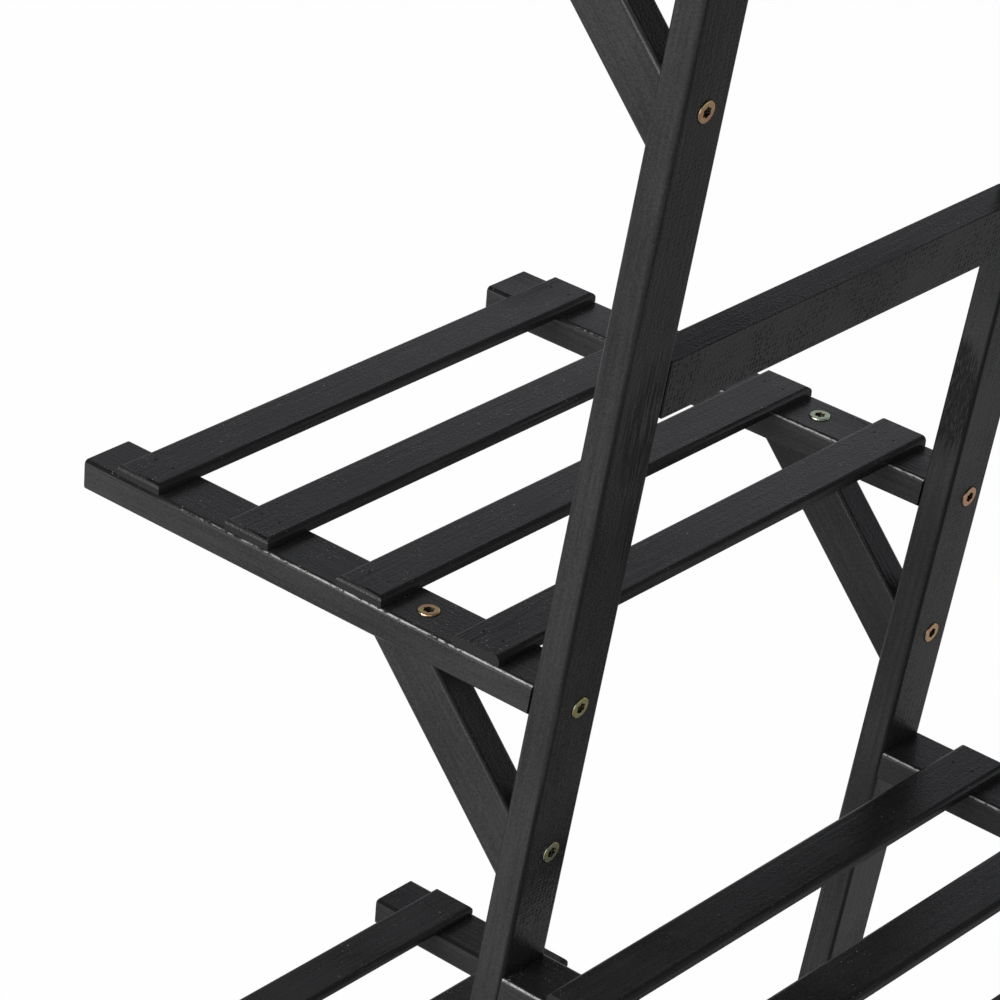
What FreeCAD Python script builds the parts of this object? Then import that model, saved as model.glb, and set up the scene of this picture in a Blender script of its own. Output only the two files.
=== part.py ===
import FreeCAD, Part
import math
import os

# Slatted wooden plant stand: two ladders lean together and carry bracketed
# shelves on their outer sides, shelves between them and one across their tops.
# Millimetres. X runs along the shelf bearers, Y front to back, Z up.
# The origin is on the floor, in the middle of the stand.

# Whole stand
stand_depth = 250.0
post_height = 1040.0
ladder_gap_at_floor = 312.0
post_lean_degrees = 7.1

# Heights of the bearer tops above the floor
lower_outer_height = 145.6
middle_outer_height = 460.0
upper_outer_height = 754.0
lower_inner_height = 64.0
middle_inner_height = 338.0

# Laths of the posts and bearers
lath_width = 24.0
lath_thickness = 12.5
edge_radius = 1.8
lower_bearer_length = 217.3
middle_bearer_length = 219.5
upper_bearer_length = 219.5
top_bearer_length = 219.5

# Slats
slat_width = 21.8
slat_thickness = 4.0
slat_pitch = 55.2
slat_end_inset = 0.8
slat_edge_radius = 2.0
outer_slat_count = 4
lower_inner_slat_count = 5
middle_inner_slat_count = 4
top_slat_count = 4

# Braces under the outer shelves
brace_width = 22.0
brace_thickness = 13.5
brace_reach = 80.0
brace_angle_degrees = 47.5

# Rails between the front and rear post of a ladder
rail_depth = 12.0
rail_height = 22.5
middle_rail_top = 587.0
upper_rail_top = 881.0

# Stub tenons on the ends of the rails
tenon_thickness = 6.0
tenon_height = 16.0
tenon_length = 9.0
tenon_side_clearance = 0.1
tenon_end_clearance = 0.5

# Largest sine of the angle between an edge and the grain that it follows
parallel_sine = 0.001

lean = math.radians(post_lean_degrees)
brace_angle = math.radians(brace_angle_degrees)
rail_length = stand_depth - 2 * lath_width

along_x = FreeCAD.Vector(1, 0, 0)
along_y = FreeCAD.Vector(0, 1, 0)
post_up = FreeCAD.Vector(math.sin(lean), 0, math.cos(lean))
post_outward = FreeCAD.Vector(-math.cos(lean), 0, math.sin(lean))
brace_down = FreeCAD.Vector(math.cos(brace_angle), 0, -math.sin(brace_angle))

outer_heights = {
    "lower": lower_outer_height,
    "middle": middle_outer_height,
    "upper": upper_outer_height,
}
outer_lengths = {
    "lower": lower_bearer_length,
    "middle": middle_bearer_length,
    "upper": upper_bearer_length,
}
inner_heights = {"lower": lower_inner_height, "middle": middle_inner_height}
inner_slat_counts = {"lower": lower_inner_slat_count, "middle": middle_inner_slat_count}
rail_tops = {"middle": middle_rail_top, "upper": upper_rail_top}

# Y of the middle of the laths in the front and rear side frames
frame_places = {
    "front": (lath_width - stand_depth) / 2,
    "rear": (stand_depth - lath_width) / 2,
}


def inner_face_x(height):
    """X of the left ladder's inner post face at a height."""
    return height * math.tan(lean) - ladder_gap_at_floor / 2


def outer_face_x(height):
    """X of the left ladder's outer post face at a height."""
    return inner_face_x(height) - lath_thickness / math.cos(lean)


def bar(corners, y_middle, y_size):
    """Solid with this outline in the XZ plane, centred on a plane across Y."""
    points = [FreeCAD.Vector(x, y_middle - y_size / 2, z) for x, z in corners]
    outline = Part.makePolygon(points + [points[0]])
    return Part.Face(outline).extrude(along_y * y_size)


def rounded(solid, grain, radius):
    """The solid with the edges that run along its grain rounded."""
    long_edges = []
    for edge in solid.Edges:
        if edge.tangentAt(edge.FirstParameter).cross(grain).Length < parallel_sine:
            long_edges.append(edge)
    return solid.makeFillet(radius, long_edges)


def post(y_middle):
    """Left post, its ends cut level for the floor and the top shelf."""
    corners = [
        (outer_face_x(0), 0),
        (inner_face_x(0), 0),
        (inner_face_x(post_height), post_height),
        (outer_face_x(post_height), post_height),
    ]
    return rounded(bar(corners, y_middle, lath_width), post_up, edge_radius)


def outer_bearer(height, length, y_middle):
    """Bearer of an outer shelf, its inner end cut to the slope of the post."""
    underside = height - lath_thickness
    free_end = outer_face_x(height) - length
    corners = [
        (free_end, underside),
        (outer_face_x(underside), underside),
        (outer_face_x(height), height),
        (free_end, height),
    ]
    return rounded(bar(corners, y_middle, lath_width), along_x, edge_radius)


def inner_bearer(height, y_middle):
    """Bearer between the ladders, both ends cut to the slope of the posts."""
    underside = height - lath_thickness
    corners = [
        (inner_face_x(underside), underside),
        (-inner_face_x(underside), underside),
        (-inner_face_x(height), height),
        (inner_face_x(height), height),
    ]
    return rounded(bar(corners, y_middle, lath_width), along_x, edge_radius)


def top_bearer(y_middle):
    """Bearer of the top shelf, lying on the level ends of the posts."""
    half_length = top_bearer_length / 2
    top = post_height + lath_thickness
    corners = [
        (-half_length, post_height),
        (half_length, post_height),
        (half_length, top),
        (-half_length, top),
    ]
    return rounded(bar(corners, y_middle, lath_width), along_x, edge_radius)


def brace_foot(start_x, start_height):
    """Where a line down the brace from this point meets the outer post face."""
    gap = outer_face_x(start_height) - start_x
    run = gap / (math.cos(brace_angle) + math.sin(brace_angle) * math.tan(lean))
    return (start_x + run * math.cos(brace_angle), start_height - run * math.sin(brace_angle))


def brace(height, y_middle):
    """Brace mitred to the underside of an outer bearer and to the post."""
    underside = height - lath_thickness
    lower_x = outer_face_x(underside) - brace_reach
    upper_x = lower_x + brace_width / math.sin(brace_angle)
    corners = [
        (lower_x, underside),
        brace_foot(lower_x, underside),
        brace_foot(upper_x, underside),
        (upper_x, underside),
    ]
    return rounded(bar(corners, y_middle, brace_thickness), brace_down, edge_radius)


def square_to_post(top, outward, downward, depth, drop):
    """Corners of a rectangle in the tilt of the post, measured from its inner face."""
    start = FreeCAD.Vector(inner_face_x(top), 0, top)
    start += post_outward * outward - post_up * downward
    across = post_outward * depth
    down = post_up * -drop
    return [(p.x, p.z) for p in (start, start + across, start + across + down, start + down)]


def tenon_bar(top, side_clearance, end_clearance):
    """Bar along Y whose ends are a rail's two tenons, or with clearance their mortises."""
    outline = square_to_post(
        top,
        (rail_depth - tenon_thickness) / 2 - side_clearance,
        (rail_height - tenon_height) / 2 - side_clearance,
        tenon_thickness + 2 * side_clearance,
        tenon_height + 2 * side_clearance,
    )
    return bar(outline, 0, rail_length + 2 * (tenon_length + end_clearance))


def rail(top):
    """Square-edged rail flush with the inner post faces, with a tenon at each end."""
    outline = square_to_post(top, 0, 0, rail_depth, rail_height)
    return bar(outline, 0, rail_length).fuse(tenon_bar(top, 0, 0))


def slat(left_x, underside):
    """Slat across both bearers, the long edges of its top rounded."""
    length = stand_depth - 2 * slat_end_inset
    corner = FreeCAD.Vector(left_x, -length / 2, underside)
    board = Part.makeBox(slat_width, length, slat_thickness, corner)
    top_face = max(board.Faces, key=lambda face: face.CenterOfMass.z)
    top_edges = [edge for edge in top_face.Edges if edge.Length > slat_width]
    return board.makeFillet(slat_edge_radius, top_edges)


def slat_row(start_x, end_x, height, count):
    """Slats centred between the two ends of a bearer."""
    row_width = slat_pitch * (count - 1) + slat_width
    first_x = (start_x + end_x - row_width) / 2
    return [slat(first_x + slat_pitch * i, height) for i in range(count)]


def mirrored(shape):
    """The same shape on the other ladder."""
    return shape.mirror(FreeCAD.Vector(0, 0, 0), along_x)


def build_left_ladder():
    """Posts and rails of the left ladder, and the brackets on its outer side."""
    mortises = [
        tenon_bar(top, tenon_side_clearance, tenon_end_clearance) for top in rail_tops.values()
    ]
    pieces = {tier + "_rail": rail(top) for tier, top in rail_tops.items()}
    for side, y_middle in frame_places.items():
        pieces[side + "_post"] = post(y_middle).cut(mortises)
        for tier, height in outer_heights.items():
            bracket = tier + "_shelf_" + side
            pieces[bracket + "_bearer"] = outer_bearer(height, outer_lengths[tier], y_middle)
            pieces[bracket + "_brace"] = brace(height, y_middle)
    return pieces


def build_middle_bearers():
    """Bearers between the ladders and across their tops."""
    pieces = {}
    for side, y_middle in frame_places.items():
        pieces["top_shelf_" + side + "_bearer"] = top_bearer(y_middle)
        for tier, height in inner_heights.items():
            pieces["inner_" + tier + "_shelf_" + side + "_bearer"] = inner_bearer(height, y_middle)
    return pieces


def build_slat_rows():
    """Row of slats for each shelf."""
    rows = {}
    for tier, height in outer_heights.items():
        post_x = outer_face_x(height)
        row = slat_row(post_x - outer_lengths[tier], post_x, height, outer_slat_count)
        rows["left_" + tier + "_shelf_slats"] = row
        rows["right_" + tier + "_shelf_slats"] = [mirrored(board) for board in row]
    for tier, height in inner_heights.items():
        post_x = inner_face_x(height)
        rows["inner_" + tier + "_shelf_slats"] = slat_row(
            post_x, -post_x, height, inner_slat_counts[tier]
        )
    top = post_height + lath_thickness
    half_length = top_bearer_length / 2
    rows["top_shelf_slats"] = slat_row(-half_length, half_length, top, top_slat_count)
    return rows


def write_node(name, shape):
    """STEP file of one sub-part or of a row of like solids."""
    shape.exportStep("parts/" + name + ".step")


os.makedirs("parts", exist_ok=True)
for name, piece in build_left_ladder().items():
    write_node("left_" + name, piece)
    write_node("right_" + name, mirrored(piece))
for name, piece in build_middle_bearers().items():
    write_node(name, piece)
for name, row in build_slat_rows().items():
    write_node(name, Part.makeCompound(row))
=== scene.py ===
import math

import bmesh
import bpy
from mathutils import Matrix, Vector


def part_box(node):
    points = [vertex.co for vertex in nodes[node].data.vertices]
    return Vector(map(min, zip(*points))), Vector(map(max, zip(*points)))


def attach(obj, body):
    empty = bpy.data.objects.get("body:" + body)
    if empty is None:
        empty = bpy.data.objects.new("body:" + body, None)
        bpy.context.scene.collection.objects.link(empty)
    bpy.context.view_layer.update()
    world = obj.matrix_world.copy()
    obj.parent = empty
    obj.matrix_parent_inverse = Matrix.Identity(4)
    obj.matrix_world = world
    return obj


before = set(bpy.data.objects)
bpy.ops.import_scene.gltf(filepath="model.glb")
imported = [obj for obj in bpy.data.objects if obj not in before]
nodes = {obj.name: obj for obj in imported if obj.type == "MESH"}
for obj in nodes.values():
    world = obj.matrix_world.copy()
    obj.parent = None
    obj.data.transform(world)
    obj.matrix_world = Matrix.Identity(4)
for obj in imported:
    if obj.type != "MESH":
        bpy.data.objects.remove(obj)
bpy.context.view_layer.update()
print("frame loaded:", len(nodes), "nodes")

# metres, x along the bearers, y front to back, z up
stand = {
    "leanDegrees": 7.1,
    "braceDegrees": 47.5,
    "lathThickness": 0.0125,
    "outerTiers": ("lower", "middle", "upper"),
    "innerTiers": ("lower", "middle"),
    "rows": ("front", "rear"),
}
lean = math.radians(stand["leanDegrees"])
braceSlope = math.radians(stand["braceDegrees"])
postWidth = stand["lathThickness"] / math.cos(lean)  # along x, on the level
postInward = Vector((math.cos(lean), 0, -math.sin(lean)))  # square out of a left post's inner face
upward = Vector((0, 0, 1))


def mirrored(vector):
    # the same point or direction on the right ladder
    return Vector((-vector.x, vector.y, vector.z))


def meshFrom(bm, name):
    mesh = bpy.data.meshes.new(name)
    bm.to_mesh(mesh)
    bm.free()
    return mesh


def addObject(name, data):
    added = bpy.data.objects.new(name, data)
    bpy.context.scene.collection.objects.link(added)
    return added


def finishPiece(bm, name, materials):
    mesh = meshFrom(bm, name)
    for material in materials:
        mesh.materials.append(material)
    piece = addObject(name, mesh)
    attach(piece, "root")


def fillInputs(tree, node, inputs):
    for name, value in inputs.items():
        if isinstance(value, bpy.types.NodeSocket):
            tree.links.new(value, node.inputs[name])
        else:
            node.inputs[name].default_value = value


def addNode(tree, kind, inputs=None, **settings):
    node = tree.nodes.new(kind)
    for name, value in settings.items():
        setattr(node, name, value)
    fillInputs(tree, node, inputs or {})
    return node


def mathNode(tree, operation, first, second=0.0, clamp=False):
    node = addNode(tree, "ShaderNodeMath", {0: first, 1: second},
                   operation=operation, use_clamp=clamp)
    return node.outputs[0]


def chain(tree, operation, values):
    result = values[0]
    for value in values[1:]:
        result = mathNode(tree, operation, result, value)
    return result


def plus(tree, *values):
    return chain(tree, "ADD", values)


def minus(tree, first, second):
    return mathNode(tree, "SUBTRACT", first, second)


def times(tree, *values):
    return chain(tree, "MULTIPLY", values)


def highest(tree, *values):
    return chain(tree, "MAXIMUM", values)


def rangeNode(tree, value, source, target, curve="LINEAR"):
    node = addNode(tree, "ShaderNodeMapRange",
                   {"Value": value, "From Min": source[0], "From Max": source[1],
                    "To Min": target[0], "To Max": target[1]}, interpolation_type=curve)
    return node.outputs["Result"]


def rampNode(tree, value, limits):
    # 0 at the first limit and 1 at the second, with a soft start and end
    return rangeNode(tree, value, limits, (0.0, 1.0), "SMOOTHSTEP")


def mixColour(tree, factor, first, second):
    # sockets 6 and 7 are the two colours
    node = addNode(tree, "ShaderNodeMix", {"Factor": factor, 6: first, 7: second},
                   data_type="RGBA")
    return node.outputs[2]


def noiseNode(tree, coordinates, noise):
    scale, detail, roughness = noise
    node = addNode(tree, "ShaderNodeTexNoise",
                   {"Vector": coordinates, "Scale": scale, "Detail": detail,
                    "Roughness": roughness})
    return node.outputs[0]


def objectPlace(tree):
    return addNode(tree, "ShaderNodeTexCoord").outputs["Object"]


def splitNode(tree, vector):
    return addNode(tree, "ShaderNodeSeparateXYZ", {0: vector}).outputs


def newMaterial(name):
    material = bpy.data.materials.new(name)
    material.use_nodes = True
    tree = material.node_tree
    return material, tree, tree.nodes["Principled BSDF"]


# black satin paint on planed softwood; here and in the other finishes two limits are where a
# change starts and where it is complete, and a noise is its scale, detail and roughness
paint = {
    "colour": (0.0150, 0.0150, 0.0154, 1),
    "fadedColour": (0.0325, 0.0325, 0.0330, 1),
    "fading": (0.44, 0.76),
    "endColour": (0.0150, 0.0155, 0.0150, 1),
    "endFacing": (0.80, 0.93),
    # the colour of the painted shade on rounded edges, in saw pits and by the bearers' free ends,
    # and of the dark brush streaks
    "shadeAndStreakColour": (0.0050, 0.0050, 0.0052, 1),
    "grainStretch": 0.030,
    "streakNoise": (700, 4.0, 0.65),
    "fineNoise": (1150, 2.0, 0.55),
    "blotchNoise": (26, 3.0, 0.55),
    "wideNoise": (13, 1.0, 0.55),
    "streakShare": 0.45,
    "fineShare": 0.45,
    "wideShare": 0.30,
    "edgeShading": (0.15, 0.85),
    "edgePatches": (0.36, 0.52),
    "roughness": (0.20, 0.32),  # in smooth patches and in dull ones
    "dulling": (0.35, 0.65),
    "hollowRoughness": 0.85,
    "specular": 0.22,
    "bumpHeight": 0.00023,
    "bumpStrength": 0.9,
    "sawnDepth": 0.9,
}


def grainPlace(tree, turn, stretch=1):
    # the place on a lath, turned until the grain runs along x and drawn out along it
    turned = addNode(tree, "ShaderNodeMapping", {"Vector": objectPlace(tree), "Rotation": turn})
    drawn = addNode(tree, "ShaderNodeMapping",
                    {"Vector": turned.outputs[0], "Scale": (stretch, 1, 1)})
    return drawn.outputs[0]


def surfaceAxes(tree):
    # how far the surface looks along x, y and z
    return splitNode(tree, addNode(tree, "ShaderNodeNewGeometry").outputs["Normal"])


def lathEdge(tree, axes, grain):
    # 1 in the middle of a rounded long edge, where the surface looks both ways alike, 0 on flats
    if grain[1]:
        across = mathNode(tree, "POWER", axes["X"], 2.0)
        rest = mathNode(tree, "POWER", axes["Z"], 2.0)
    else:
        across = mathNode(tree, "POWER", axes["Y"], 2.0)
        rest = minus(tree, 1.0, across)
    return times(tree, across, rest, 4.0)


def lathEnd(tree, axes, grain):
    # 1 on the sawn ends, whose faces look along the grain
    along = plus(tree, *[times(tree, axes[axis], share) for axis, share in zip("XYZ", grain)])
    return rampNode(tree, mathNode(tree, "ABSOLUTE", along), paint["endFacing"])


# pale specks in loose groups on the faces that look up
speck = {
    "colour": (0.44, 0.42, 0.34, 1),
    "noise": (1380, 1.0, 0.55),
    "outline": (0.700, 0.750),
    "groupNoise": (78, 2.0, 0.55),
    "groups": (0.49, 0.63),
    "facing": (0.5, 0.8),
}


def paleSpecks(tree, even, axes, amount):
    dots = rampNode(tree, noiseNode(tree, even, speck["noise"]), speck["outline"])
    groups = rampNode(tree, noiseNode(tree, even, speck["groupNoise"]), speck["groups"])
    onTops = times(tree, rampNode(tree, axes["Z"], speck["facing"]), amount)
    return times(tree, dots, groups, onTops)


# worn paint and a painted highlight along the upper edges of the bearers, and a painted shade line
# by the free end, by the distance from the middle of the stand
scuffAndPaintedLight = {
    "colour": (0.42, 0.41, 0.40, 1),
    "stretch": 0.50,
    "noise": (640, 5.0, 0.8),
    "starts": (0.300, 0.272),
    "strengthens": (0.262, 0.200),
    "weakShare": 0.6,
    "threshold": 0.60,
    "thresholdDrop": 0.22,
    "softness": (0.0, 0.14),
    "paleLine": (0.74, 0.96),
    "paleFacing": (0.38, 0.66),
    "darkLine": (0.30, 0.60),
    "darkFacing": (0.15, 0.40),
}


def edgeScuffsAndPaintedLight(tree, turn, edge, axes):
    # a dark line of painted shade by the free end, then a thin broken pale one, partly worn paint
    # and partly painted highlight, that grows towards the ladder
    broken = noiseNode(tree, grainPlace(tree, turn, scuffAndPaintedLight["stretch"]), scuffAndPaintedLight["noise"])
    fromMiddle = mathNode(tree, "ABSOLUTE", splitNode(tree, objectPlace(tree))["X"])
    started = rampNode(tree, fromMiddle, scuffAndPaintedLight["starts"])
    strong = rampNode(tree, fromMiddle, scuffAndPaintedLight["strengthens"])
    growth = times(tree, strong, 1 - scuffAndPaintedLight["weakShare"])
    share = times(tree, started, plus(tree, growth, scuffAndPaintedLight["weakShare"]))
    threshold = minus(tree, scuffAndPaintedLight["threshold"], times(tree, share, scuffAndPaintedLight["thresholdDrop"]))
    worn = rampNode(tree, minus(tree, broken, threshold), scuffAndPaintedLight["softness"])
    line = times(tree, rampNode(tree, edge, scuffAndPaintedLight["paleLine"]),
                 rampNode(tree, axes["Z"], scuffAndPaintedLight["paleFacing"]))
    pale = times(tree, line, worn, share)
    wideLine = times(tree, rampNode(tree, edge, scuffAndPaintedLight["darkLine"]),
                     rampNode(tree, axes["Z"], scuffAndPaintedLight["darkFacing"]))
    dark = times(tree, wideLine, minus(tree, 1.0, started))
    return pale, dark


# two spots seen on the left posts: coarse saw marks low on the front one and a patch of dark
# streaks on the front face of the rear one; the rim is in reaches from the middle
roughSpot = {
    "place": (-0.1102, -0.1116, 0.3674),
    "reach": (0.016, 0.018, 0.015),
    "strength": 0.4,
}
streakedSpot = {
    "place": (-0.103, 0.101, 0.500),
    "reach": (0.014, 0.011, 0.030),
    "betweenStreaks": 0.2,
}
spotRim = (1.05, 0.62)
averageNoise = 0.5


def spotShare(tree, spot, noise):
    # 1 in the middle of a spot and 0 outside, with a rim made ragged by the noise
    scale = [1 / reach for reach in spot["reach"]]
    shift = [-middle / reach for middle, reach in zip(spot["place"], spot["reach"])]
    fromSpot = addNode(tree, "ShaderNodeMapping",
                       {"Vector": objectPlace(tree), "Location": shift, "Scale": scale})
    distance = addNode(tree, "ShaderNodeVectorMath", {0: fromSpot.outputs[0]},
                       operation="LENGTH").outputs["Value"]
    ragged = minus(tree, distance, minus(tree, noise, averageNoise))
    return rampNode(tree, ragged, spotRim)


# rows of small pits left by the saw, across the grain, darkened with painted shade as well as
# bumped
sawMark = {
    "rowStep": 0.0018,
    "pitStep": 0.0021,
    "wander": 2.2,
    "randomness": 0.45,
    "pitOutline": (0.54, 0.10),
    "pitDepths": (0.0, 0.8),
    "facing": (0.55, 0.85),
    "patches": (0.36, 0.56),
}


def sawnMarks(tree, even, blotch, axes, amount):
    # in patches on the faces that look along x
    parts = splitNode(tree, even)
    row = mathNode(tree, "DIVIDE", parts["X"], sawMark["rowStep"])
    pit = mathNode(tree, "DIVIDE", plus(tree, parts["Y"], parts["Z"]), sawMark["pitStep"])
    wavering = plus(tree, pit, times(tree, blotch, sawMark["wander"]))
    grid = addNode(tree, "ShaderNodeCombineXYZ", {"X": row, "Y": wavering}).outputs[0]
    cells = addNode(tree, "ShaderNodeTexVoronoi",
                    {"Vector": grid, "Scale": 1.0, "Randomness": sawMark["randomness"]},
                    voronoi_dimensions="2D").outputs
    depth = rampNode(tree, splitNode(tree, cells["Color"])["X"], sawMark["pitDepths"])
    pits = times(tree, rampNode(tree, cells["Distance"], sawMark["pitOutline"]), depth)
    regular = times(tree, rampNode(tree, blotch, sawMark["patches"]), amount)
    rough = times(tree, spotShare(tree, roughSpot, blotch), roughSpot["strength"])
    facing = rampNode(tree, mathNode(tree, "ABSOLUTE", axes["X"]), sawMark["facing"])
    return times(tree, pits, times(tree, facing, highest(tree, regular, rough)))


# dark lengthwise streaks where the brush left the paint thin, and finer ones on the streaked spot
brushStreak = {
    "stretch": 0.05,
    "noise": (1100, 4.0, 0.7),
    "streaks": (0.40, 0.58),
    "patchStretch": 0.6,
    "patchNoise": (11, 2.0, 0.55),
    "patches": (0.52, 0.66),
    "spotStretch": 0.12,
    "spotNoise": (1870, 4.0, 0.7),
    "spotStreaks": (0.36, 0.50),
    "spotFacing": (-0.45, -0.80),
}


def brushMarks(tree, turn, axes, amount):
    # in a few patches, and finer and closer on the streaked spot
    streaks = noiseNode(tree, grainPlace(tree, turn, brushStreak["stretch"]), brushStreak["noise"])
    patches = noiseNode(tree, grainPlace(tree, turn, brushStreak["patchStretch"]),
                        brushStreak["patchNoise"])
    share = times(tree, rampNode(tree, patches, brushStreak["patches"]), amount)
    marks = times(tree, rampNode(tree, streaks, brushStreak["streaks"]), share)
    fine = noiseNode(tree, grainPlace(tree, turn, brushStreak["spotStretch"]),
                     brushStreak["spotNoise"])
    filled = highest(tree, rampNode(tree, fine, brushStreak["spotStreaks"]),
                     streakedSpot["betweenStreaks"])
    onFront = rampNode(tree, axes["Y"], brushStreak["spotFacing"])
    spot = times(tree, spotShare(tree, streakedSpot, streaks), onFront)
    return highest(tree, marks, times(tree, spot, filled))


def paintedWood(name, turn, grain, amounts):
    material, tree, shader = newMaterial(name)
    axes = surfaceAxes(tree)
    even = grainPlace(tree, turn)
    lengthwise = grainPlace(tree, turn, paint["grainStretch"])
    blotch = noiseNode(tree, even, paint["blotchNoise"])
    wide = noiseNode(tree, even, paint["wideNoise"])
    streaks = times(tree, noiseNode(tree, lengthwise, paint["streakNoise"]), paint["streakShare"])
    fine = times(tree, noiseNode(tree, even, paint["fineNoise"]), paint["fineShare"])
    tone = plus(tree, streaks, fine)
    shade = plus(tree, tone, times(tree, wide, paint["wideShare"]))
    edge = lathEdge(tree, axes, grain)
    # painted shade: a dark band along the rounded long edges, in patches
    edgeAmount = times(tree, rampNode(tree, wide, paint["edgePatches"]), amounts["edgeShade"])
    edgeShade = times(tree, rampNode(tree, edge, paint["edgeShading"]), edgeAmount)
    sawn = sawnMarks(tree, even, blotch, axes, amounts["saw"])
    darkest = highest(tree, sawn, edgeShade, brushMarks(tree, turn, axes, amounts["brush"]))
    if amounts["scuffsAndPaintedLight"]:
        pale, dark = edgeScuffsAndPaintedLight(tree, turn, edge, axes)
        darkest = highest(tree, darkest, dark)

    colour = mixColour(tree, rampNode(tree, shade, paint["fading"]),
                       paint["colour"], paint["fadedColour"])
    colour = mixColour(tree, lathEnd(tree, axes, grain), colour, paint["endColour"])
    # painted shade on the rounded edges, in the saw pits and by the free ends, and the dark brush
    # streaks
    colour = mixColour(tree, darkest, colour, paint["shadeAndStreakColour"])
    specks = paleSpecks(tree, even, axes, amounts["specks"])
    colour = mixColour(tree, specks, colour, speck["colour"])
    # the pale edge line: partly worn paint, partly painted highlight
    if amounts["scuffsAndPaintedLight"]:
        colour = mixColour(tree, pale, colour, scuffAndPaintedLight["colour"])

    dull = rangeNode(tree, blotch, paint["dulling"], paint["roughness"])
    roughness = rangeNode(tree, darkest, (0.0, 1.0), (dull, paint["hollowRoughness"]))
    height = minus(tree, tone, times(tree, sawn, paint["sawnDepth"]))
    bump = addNode(tree, "ShaderNodeBump",
                   {"Height": height, "Strength": paint["bumpStrength"],
                    "Distance": paint["bumpHeight"]})
    fillInputs(tree, shader, {"Base Color": colour, "Roughness": roughness,
                              "Normal": bump.outputs[0], "Specular IOR Level": paint["specular"]})
    return material


# how strongly each kind of lath shows each mark, painted shade and painted highlight among them
wearAndPaintedLight = {
    "post": {"scuffsAndPaintedLight": False, "saw": 0.30, "brush": 0.7, "specks": 0.5, "edgeShade": 0.85},
    "bearer": {"scuffsAndPaintedLight": True, "saw": 0.0, "brush": 0.4, "specks": 1.0, "edgeShade": 0.6},
    "brace": {"scuffsAndPaintedLight": False, "saw": 0.0, "brush": 0.3, "specks": 0.5, "edgeShade": 0.6},
    "rail": {"scuffsAndPaintedLight": False, "saw": 0.56, "brush": 0.4, "specks": 0.5, "edgeShade": 1.0},
    "slats": {"scuffsAndPaintedLight": False, "saw": 0.0, "brush": 0.4, "specks": 1.0, "edgeShade": 0.6},
}
quarter = math.pi / 2
postGrain = Vector((math.sin(lean), 0, math.cos(lean)))
braceGrain = Vector((math.cos(braceSlope), 0, -math.sin(braceSlope)))
# each paint: its name, the turn that lays the grain along x, the grain's direction, its marks and
# painted light
lathPaints = {
    "leftPost": ("postPaintLeft", (0, quarter - lean, 0), postGrain, wearAndPaintedLight["post"]),
    "rightPost": ("postPaintRight", (0, quarter + lean, 0), mirrored(postGrain), wearAndPaintedLight["post"]),
    "bearer": ("bearerPaint", (0, 0, 0), (1, 0, 0), wearAndPaintedLight["bearer"]),
    "leftBrace": ("bracePaintLeft", (0, -braceSlope, 0), braceGrain, wearAndPaintedLight["brace"]),
    "rightBrace": ("bracePaintRight", (0, braceSlope, 0), mirrored(braceGrain), wearAndPaintedLight["brace"]),
    "rail": ("railPaint", (0, 0, quarter), (0, 1, 0), wearAndPaintedLight["rail"]),
    "slats": ("slatPaint", (0, 0, quarter), (0, 1, 0), wearAndPaintedLight["slats"]),
}
paints = {kind: paintedWood(*settings) for kind, settings in lathPaints.items()}


def paintFor(name):
    for kind in ("slats", "rail", "bearer"):
        if name.endswith(kind):
            return paints[kind]
    side = "left" if name.startswith("left") else "right"
    return paints[side + ("Post" if name.endswith("post") else "Brace")]


# cut ends eased a little; the weld joins the loose triangles first
endEasing = {
    "weldDistance": 0.000005,
    "width": 0.0006,
    "bearerWidth": 0.0004,
    "segments": 3,
    "angleDegrees": 55,
}


def dressNode(name, node):
    node.data.materials.clear()
    node.data.materials.append(paintFor(name))
    weld = node.modifiers.new("weld", "WELD")
    weld.merge_threshold = endEasing["weldDistance"]
    bevel = node.modifiers.new("easedEnds", "BEVEL")
    bevel.width = endEasing["bearerWidth" if name.endswith("bearer") else "width"]
    bevel.segments = endEasing["segments"]
    bevel.limit_method = "ANGLE"
    bevel.angle_limit = math.radians(endEasing["angleDegrees"])
    bevel.use_clamp_overlap = True
    flat = node.modifiers.new("flatFaces", "WEIGHTED_NORMAL")
    flat.mode = "FACE_AREA"
    flat.keep_sharp = False


for nodeName, nodeObject in nodes.items():
    dressNode(nodeName, nodeObject)
print("paint on", len(nodes), "nodes")

# pan screws standing a little proud, with a lobed key socket
screw = {
    "headRadius": 0.00405,
    "proud": 0.0006,
    "rimHeight": 0.0010,
    "coneHeight": 0.0018,
    "shankRadius": 0.0020,
    "shankLength": 0.004,
    "rimBevel": 0.0004,
    "socketRadius": 0.00198,
    "lobeHeight": 0.00022,
    "lobes": 6,
    "socketDepth": 0.0022,
    "holeClearance": 0.00025,
    "sides": 36,
    "offMiddle": 0.0016,
    "bearerEndBelowShelf": 0.0080,
    "braceFootBelowShelf": 0.0714,
    "braceTopFromPost": 0.0585,
}
zinc = {
    "green": (0.50, 0.57, 0.42, 1),
    "gold": (0.62, 0.53, 0.22, 1),
    "copper": (0.68, 0.38, 0.25, 1),
    "goldPlace": 0.45,
    "shimmerNoise": (320, 3.0, 0.55),
    "shimmerSwing": 1.6,
    "roughness": (0.18, 0.43),
}
socket = {
    "darkColour": (0.05, 0.042, 0.032, 1),
    "glintColour": (0.52, 0.46, 0.34, 1),
    "glintNoise": (1500, 2.0, 0.55),
    "glints": (0.48, 0.66),
    "roughness": 0.35,
    "metallic": 0.6,
}
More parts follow.
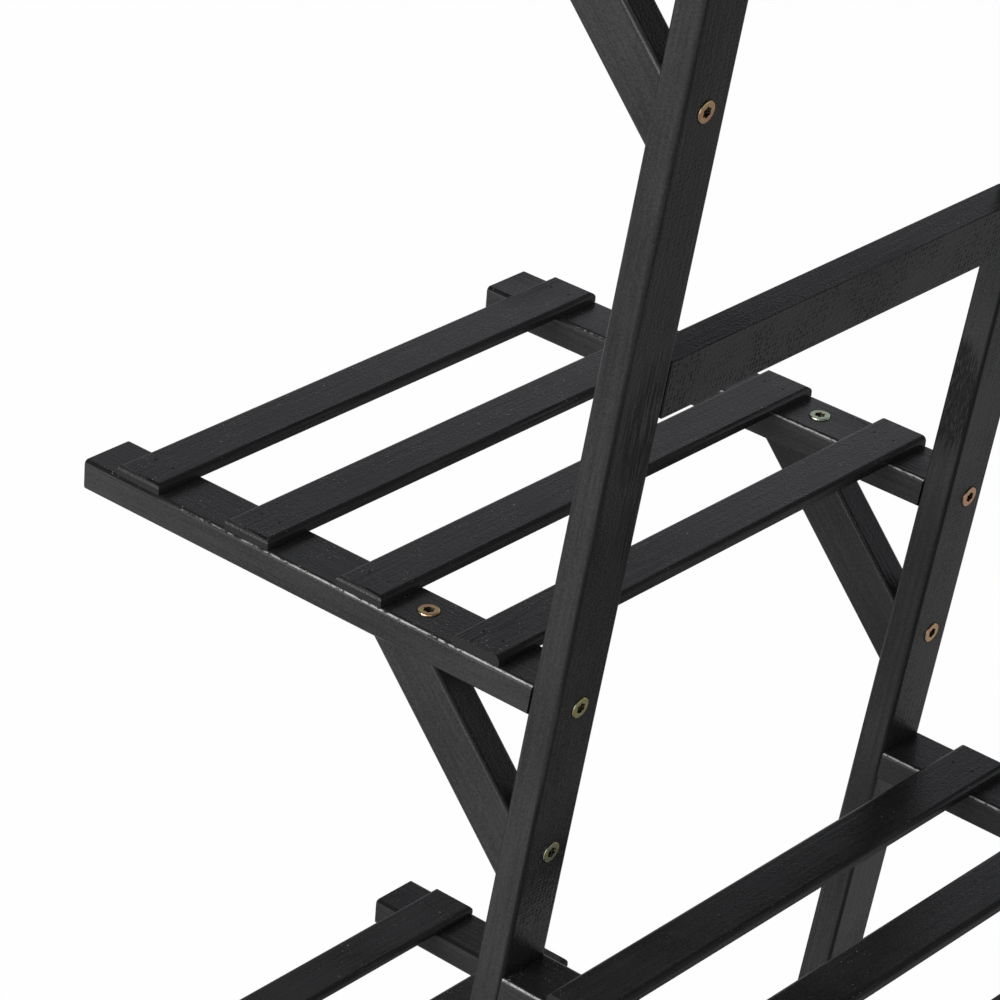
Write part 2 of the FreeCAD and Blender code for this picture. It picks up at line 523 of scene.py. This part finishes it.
# how far each seen screw lies from the regular place, along y and z, and its tint, from
# green at 0 past gold to copper at 1
screwTrims = {
    ("bearerEndScrews", "middle", "front"): (-0.0009, -0.00045, 0.30),
    ("bearerEndScrews", "middle", "rear"): (0.00105, 0.0003, 1.0),
    ("braceFootScrews", "middle", "front"): (0, 0, 0.15),
    ("braceFootScrews", "middle", "rear"): (-0.0006, 0.0016, 0.82),
    ("braceFootScrews", "upper", "front"): (-0.0012, 0.0016, 0.80),
    ("braceTopScrews", "middle", "front"): (0, 0, 0.72),
    ("braceTopScrews", "middle", "rear"): (0, 0, 0.0),
}
plainTrim = (0, 0, zinc["goldPlace"])


def zincMaterial():
    material, tree, shader = newMaterial("yellowZinc")
    tint = addNode(tree, "ShaderNodeAttribute", attribute_name="tint").outputs["Fac"]
    shimmer = noiseNode(tree, objectPlace(tree), zinc["shimmerNoise"])
    swing = times(tree, minus(tree, shimmer, averageNoise), zinc["shimmerSwing"])
    ramp = addNode(tree, "ShaderNodeValToRGB",
                   {"Fac": mathNode(tree, "ADD", tint, swing, clamp=True)})
    ramp.color_ramp.elements[0].color = zinc["green"]
    ramp.color_ramp.elements[1].color = zinc["copper"]
    ramp.color_ramp.elements.new(zinc["goldPlace"]).color = zinc["gold"]
    roughness = rangeNode(tree, shimmer, (0.0, 1.0), zinc["roughness"])
    fillInputs(tree, shader, {"Base Color": ramp.outputs[0], "Roughness": roughness,
                              "Metallic": 1.0})
    return material


def socketMaterial():
    material, tree, shader = newMaterial("shadedSocket")
    glints = rampNode(tree, noiseNode(tree, objectPlace(tree), socket["glintNoise"]),
                      socket["glints"])
    colour = mixColour(tree, glints, socket["darkColour"], socket["glintColour"])
    fillInputs(tree, shader, {"Base Color": colour, "Roughness": socket["roughness"],
                              "Metallic": socket["metallic"]})
    return material


def ringEdges(bm, ring):
    return [edge for edge in bm.edges if edge.verts[0] in ring and edge.verts[1] in ring]


def extrudeRing(bm, ring, drop, share=1):
    # walls down from a ring of vertices to a lower one of another size, which is returned
    walls = bmesh.ops.extrude_edge_only(bm, edges=ringEdges(bm, ring))["geom"]
    lowerRing = [part for part in walls if isinstance(part, bmesh.types.BMVert)]
    bmesh.ops.scale(bm, verts=lowerRing, vec=(share, share, 1))
    bmesh.ops.translate(bm, verts=lowerRing, vec=(0, 0, -drop))
    return lowerRing


def extrudeSteps(bm, ring, radius, steps):
    # each step is the next radius and how far below the last one it lies; the last is closed
    for nextRadius, drop in steps:
        ring = extrudeRing(bm, ring, drop, nextRadius / radius)
        radius = nextRadius
    bmesh.ops.contextual_create(bm, geom=ringEdges(bm, ring))


def screwMesh():
    # its face at z 0 and its point down; the cone and shank sit in the countersink
    bm = bmesh.new()
    head, sides = screw["headRadius"], screw["sides"]
    rim = bmesh.ops.create_circle(bm, segments=sides, radius=head)["verts"]
    lobed = bmesh.ops.create_circle(bm, segments=sides, radius=screw["socketRadius"])["verts"]
    for vertex in lobed:
        angle = math.atan2(vertex.co.y, vertex.co.x)
        wave = screw["lobeHeight"] * math.cos(screw["lobes"] * angle)
        vertex.co *= 1 + wave / screw["socketRadius"]
    bmesh.ops.bridge_loops(bm, edges=ringEdges(bm, rim) + ringEdges(bm, lobed))
    socketFloor = extrudeRing(bm, lobed, screw["socketDepth"])
    bmesh.ops.contextual_create(bm, geom=ringEdges(bm, socketFloor))
    for face in bm.faces:
        face.material_index = 1 if any(vertex in socketFloor for vertex in face.verts) else 0
    extrudeSteps(bm, rim, head, (
        (head, screw["rimHeight"]),
        (screw["shankRadius"], screw["coneHeight"]),
        (screw["shankRadius"], screw["shankLength"]),
    ))
    bmesh.ops.bevel(bm, geom=ringEdges(bm, rim), offset=screw["rimBevel"], offset_type="OFFSET",
                    affect="EDGES", segments=2, profile=0.5, material=-1)
    bmesh.ops.recalc_face_normals(bm, faces=bm.faces)
    return meshFrom(bm, "screwShape")


def holeMesh():
    # from above the face down past the point, with the clearance all round
    bm = bmesh.new()
    clearance, above = screw["holeClearance"], screw["rimHeight"]
    head, shank = screw["headRadius"] + clearance, screw["shankRadius"] + clearance
    length = above + screw["coneHeight"] + screw["shankLength"] + clearance
    rim = bmesh.ops.create_circle(bm, segments=screw["sides"], radius=head,
                                  cap_ends=True)["verts"]
    bmesh.ops.translate(bm, verts=rim, vec=(0, 0, above))
    extrudeSteps(bm, rim, head, (
        (head, 2 * above),
        (shank, screw["coneHeight"]),
        (shank, length - 2 * above),
    ))
    bmesh.ops.recalc_face_normals(bm, faces=bm.faces)
    return meshFrom(bm, "holeShape")


def placeOn(point, outward):
    turn = upward.rotation_difference(outward).to_matrix().to_4x4()
    return Matrix.Translation(point) @ turn


def bothLadders(point, outward, trim=plainTrim):
    # a screw on the left ladder and its mirror image; the trim slides it in the face it sits in
    alongY, alongZ, tint = trim
    moved = point + Vector((0, alongY, alongZ)) - outward * (alongZ * outward.z)
    return [(moved, outward, tint), (mirrored(moved), mirrored(outward), tint)]


def middleY(low, high):
    return (low.y + high.y) / 2


def screwPlaces():
    groups = {"bearerEndScrews": [], "braceFootScrews": [], "braceTopScrews": [],
              "innerShelfScrews": [], "topShelfScrews": []}
    dropsBelowShelf = {"bearerEndScrews": screw["bearerEndBelowShelf"],
                       "braceFootScrews": screw["braceFootBelowShelf"]}
    halfLath = stand["lathThickness"] / 2
    for row in stand["rows"]:
        for tier in stand["outerTiers"]:
            low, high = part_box("left_" + tier + "_shelf_" + row + "_bearer")
            y = middleY(low, high)
            postFace = high.x + postWidth  # inner face, level with the top of the bearer
            for group, drop in dropsBelowShelf.items():
                trim = screwTrims.get((group, tier, row), plainTrim)
                point = Vector((postFace - drop * math.tan(lean), y + screw["offMiddle"],
                                high.z - drop))
                groups[group] += bothLadders(point, postInward, trim)
            trim = screwTrims.get(("braceTopScrews", tier, row), plainTrim)
            point = Vector((high.x - screw["braceTopFromPost"], y, high.z))
            groups["braceTopScrews"] += bothLadders(point, upward, trim)
        for tier in stand["innerTiers"]:
            low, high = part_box("inner_" + tier + "_shelf_" + row + "_bearer")
            outerFace = low.x + halfLath * math.tan(lean) - postWidth
            point = Vector((outerFace, middleY(low, high), high.z - halfLath))
            groups["innerShelfScrews"] += bothLadders(point, -postInward)
        low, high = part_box("left_" + row + "_post")
        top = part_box("top_shelf_" + row + "_bearer")[1].z
        point = Vector((high.x - postWidth / 2, middleY(low, high), top))
        groups["topShelfScrews"] += bothLadders(point, upward)
    return groups


def gather(shape, places, rise=0):
    # copies of a shape in one mesh, each raised that much out of its place
    bm = bmesh.new()
    tints = bm.verts.layers.float.new("tint")
    for point, outward, tint in places:
        copy = shape.copy()
        copy.transform(placeOn(point + outward * rise, outward))
        before = len(bm.verts)
        bm.from_mesh(copy)
        bpy.data.meshes.remove(copy)
        bm.verts.ensure_lookup_table()
        for vertex in bm.verts[before:]:
            vertex[tints] = tint
    return bm


def cutHoles(shape, places, cutterName, endings):
    # all the holes of one kind are cut by one hidden object
    cutter = addObject(cutterName, meshFrom(gather(shape, places), cutterName))
    cutter.hide_render = True
    cutter.hide_viewport = True
    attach(cutter, "root")
    for nodeName, nodeObject in nodes.items():
        if nodeName.endswith(endings):
            holes = nodeObject.modifiers.new(cutterName, "BOOLEAN")
            holes.operation = "DIFFERENCE"
            holes.object = cutter
            holes.solver = "EXACT"


screwShape = screwMesh()
holeShape = holeMesh()
screwFinish = (zincMaterial(), socketMaterial())
screwGroups = screwPlaces()
for groupName, places in screwGroups.items():
    finishPiece(gather(screwShape, places, screw["proud"]), groupName, screwFinish)
allPlaces = [place for places in screwGroups.values() for place in places]
cutHoles(holeShape, allPlaces, "countersinks", ("post", "bearer", "brace"))
for spare in (screwShape, holeShape):
    bpy.data.meshes.remove(spare)
print("screws:", len(allPlaces))

# brads driven just under the tops of the slat ends, two to each
brad = {
    "radius": 0.00050,
    "length": 0.0010,
    "below": 0.00006,
    "holeClearance": 0.00006,
    "sides": 10,
    "apart": 0.009,
    "fromEnd": 0.0115,
    "wander": 0.0022,
    "wanderWaves": (97, 31, 700),
    "slatWidth": 0.0218,
    "slatPitch": 0.0552,
    "darkColour": (0.005, 0.005, 0.0052, 1),
    "paleColour": (0.014, 0.014, 0.0145, 1),
    "speckleNoise": (1800, 2.0, 0.55),
    "roughness": 0.7,
    "specular": 0.2,
}


def bradMaterial():
    material, tree, shader = newMaterial("paintedOverBrads")
    speckle = noiseNode(tree, objectPlace(tree), brad["speckleNoise"])
    colour = mixColour(tree, speckle, brad["darkColour"], brad["paleColour"])
    fillInputs(tree, shader, {"Base Color": colour, "Roughness": brad["roughness"],
                              "Specular IOR Level": brad["specular"]})
    return material


def pinMesh(name, radius, low, high):
    bm = bmesh.new()
    pin = bmesh.ops.create_cone(bm, cap_ends=True, segments=brad["sides"],
                                radius1=radius, radius2=radius, depth=high - low)["verts"]
    bmesh.ops.translate(bm, verts=pin, vec=(0, 0, (high + low) / 2))
    return meshFrom(bm, name)


def bradPlaces(nodeName):
    low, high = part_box(nodeName)
    slatCount = 1 + round((high.x - low.x - brad["slatWidth"]) / brad["slatPitch"])
    places = []
    for index in range(slatCount):
        slatMiddle = low.x + brad["slatWidth"] / 2 + index * brad["slatPitch"]
        for y in (low.y + brad["fromEnd"], high.y - brad["fromEnd"]):
            for shift in (-brad["apart"] / 2, brad["apart"] / 2):
                values = zip(brad["wanderWaves"], (slatMiddle, y, shift))
                phase = sum(wave * value for wave, value in values)
                wander = brad["wander"] * math.sin(phase)  # no two quite in line
                places.append((Vector((slatMiddle + shift, y + wander, high.z)), upward, 0))
    return places


bradShape = pinMesh("bradShape", brad["radius"], -brad["length"], -brad["below"])
bradHoleShape = pinMesh("bradHoleShape", brad["radius"] + brad["holeClearance"],
                        -brad["length"] - brad["holeClearance"], brad["holeClearance"])
slatNames = [name for name in nodes if name.endswith("slats")]
allBrads = [place for name in slatNames for place in bradPlaces(name)]
finishPiece(gather(bradShape, allBrads), "slatBrads", (bradMaterial(),))
cutHoles(bradHoleShape, allBrads, "bradHoles", ("slats",))
for spare in (bradShape, bradHoleShape):
    bpy.data.meshes.remove(spare)
print("brads:", len(allBrads))

# a pale floor and sky, which the camera sees white and the stand's gloss sees graded, and one
# soft lamp to the front left; the sky is given by height and by side, from left to right
studio = {
    "floorSize": 14,
    "floorColour": (0.80, 0.80, 0.80, 1),
    "backdropShare": 0.985,
    "ambient": 0.58,
    "floorInGloss": 0.43,
    "skyInGloss": 0.75,
    "skyHeights": (0.44, 0.53),
    "skyHeightShares": (1.0, 0.05),
    "skySides": (-0.66, -0.47),
    "skySideShares": (0.76, 1.24),
    "skyTint": (0.97, 0.98, 1.04, 1),
    "white": (1, 1, 1, 1),
    "keyPlace": (-0.9, -3.0, 1.2),
    "keyPower": 118,
    "keySize": 2.2,
    "aim": (-0.05, 0, 0.5),
}


def emptyTree(owner):
    owner.use_nodes = True
    owner.node_tree.nodes.clear()
    return owner.node_tree


def backdropRays(tree):
    # rays that look at the backdrop: straight from the camera or through glass, and off gloss
    rays = addNode(tree, "ShaderNodeLightPath").outputs
    return highest(tree, rays["Is Camera Ray"], rays["Is Transmission Ray"]), rays["Is Glossy Ray"]


def makeFloor():
    bm = bmesh.new()
    bmesh.ops.create_grid(bm, x_segments=1, y_segments=1, size=studio["floorSize"] / 2)
    floorObject = addObject("studioFloor", meshFrom(bm, "studioFloor"))
    material = bpy.data.materials.new("paleFloor")
    tree = emptyTree(material)
    seen, glossy = backdropRays(tree)
    matt = addNode(tree, "ShaderNodeBsdfDiffuse", {"Color": studio["floorColour"]})
    strength = plus(tree, seen, times(tree, glossy, studio["floorInGloss"]))
    glow = addNode(tree, "ShaderNodeEmission", {"Color": studio["white"], "Strength": strength})
    share = times(tree, highest(tree, seen, glossy), studio["backdropShare"])
    mixed = addNode(tree, "ShaderNodeMixShader",
                    {0: share, 1: matt.outputs[0], 2: glow.outputs[0]})
    addNode(tree, "ShaderNodeOutputMaterial", {"Surface": mixed.outputs[0]})
    floorObject.data.materials.append(material)


def makeSky():
    world = bpy.data.worlds.new("studioWorld")
    bpy.context.scene.world = world
    tree = emptyTree(world)
    seen, glossy = backdropRays(tree)
    others = minus(tree, 1.0, plus(tree, seen, glossy))
    direction = splitNode(tree, addNode(tree, "ShaderNodeTexCoord").outputs["Generated"])
    fade = rangeNode(tree, direction["Z"], studio["skyHeights"], studio["skyHeightShares"],
                     "SMOOTHSTEP")
    sideways = rangeNode(tree, direction["X"], studio["skySides"], studio["skySideShares"])
    inGloss = times(tree, glossy, times(tree, sideways, studio["skyInGloss"]))
    unseen = plus(tree, inGloss, times(tree, others, studio["ambient"]))
    strength = plus(tree, seen, times(tree, unseen, fade))
    colour = mixColour(tree, seen, studio["skyTint"], studio["white"])
    sky = addNode(tree, "ShaderNodeBackground", {"Color": colour, "Strength": strength})
    addNode(tree, "ShaderNodeOutputWorld", {"Surface": sky.outputs[0]})


def makeKeyLamp():
    data = bpy.data.lights.new("keyLamp", "AREA")
    data.energy = studio["keyPower"]
    data.shape = "SQUARE"
    data.size = studio["keySize"]
    lamp = addObject("keyLamp", data)
    lamp.location = studio["keyPlace"]
    aim = Vector(studio["aim"]) - Vector(studio["keyPlace"])
    lamp.rotation_euler = aim.to_track_quat("-Z", "Y").to_euler()


# the photograph's own view: a long lens, its frame cut from right of and below the lens axis
view = {
    "azimuthDegrees": 39.745,
    "elevationDegrees": 27.271,
    "rollDegrees": 4.201,
    "place": (0.70683, -1.15758, 1.23721),
    "lens": 160.58,
    "sensor": 36,
    "shift": (0.040, -0.075),
}


def makeCamera():
    azimuth = math.radians(view["azimuthDegrees"])
    elevation = math.radians(view["elevationDegrees"])
    roll = math.radians(view["rollDegrees"])
    back = Vector((math.sin(azimuth) * math.cos(elevation),
                   -math.cos(azimuth) * math.cos(elevation), math.sin(elevation)))
    right = Vector((math.cos(azimuth), math.sin(azimuth), 0))
    up = back.cross(right)
    turnedRight = right * math.cos(roll) + up * math.sin(roll)
    turnedUp = up * math.cos(roll) - right * math.sin(roll)
    turn = Matrix((turnedRight, turnedUp, back)).transposed().to_4x4()
    data = bpy.data.cameras.new("photoView")
    data.lens = view["lens"]
    data.sensor_width = view["sensor"]
    data.shift_x, data.shift_y = view["shift"]
    camera = addObject("photoView", data)
    camera.matrix_world = Matrix.Translation(view["place"]) @ turn
    bpy.context.scene.camera = camera


makeFloor()
makeSky()
makeKeyLamp()
makeCamera()
bpy.context.scene.view_settings.view_transform = "Standard"
print("studio and camera ready")
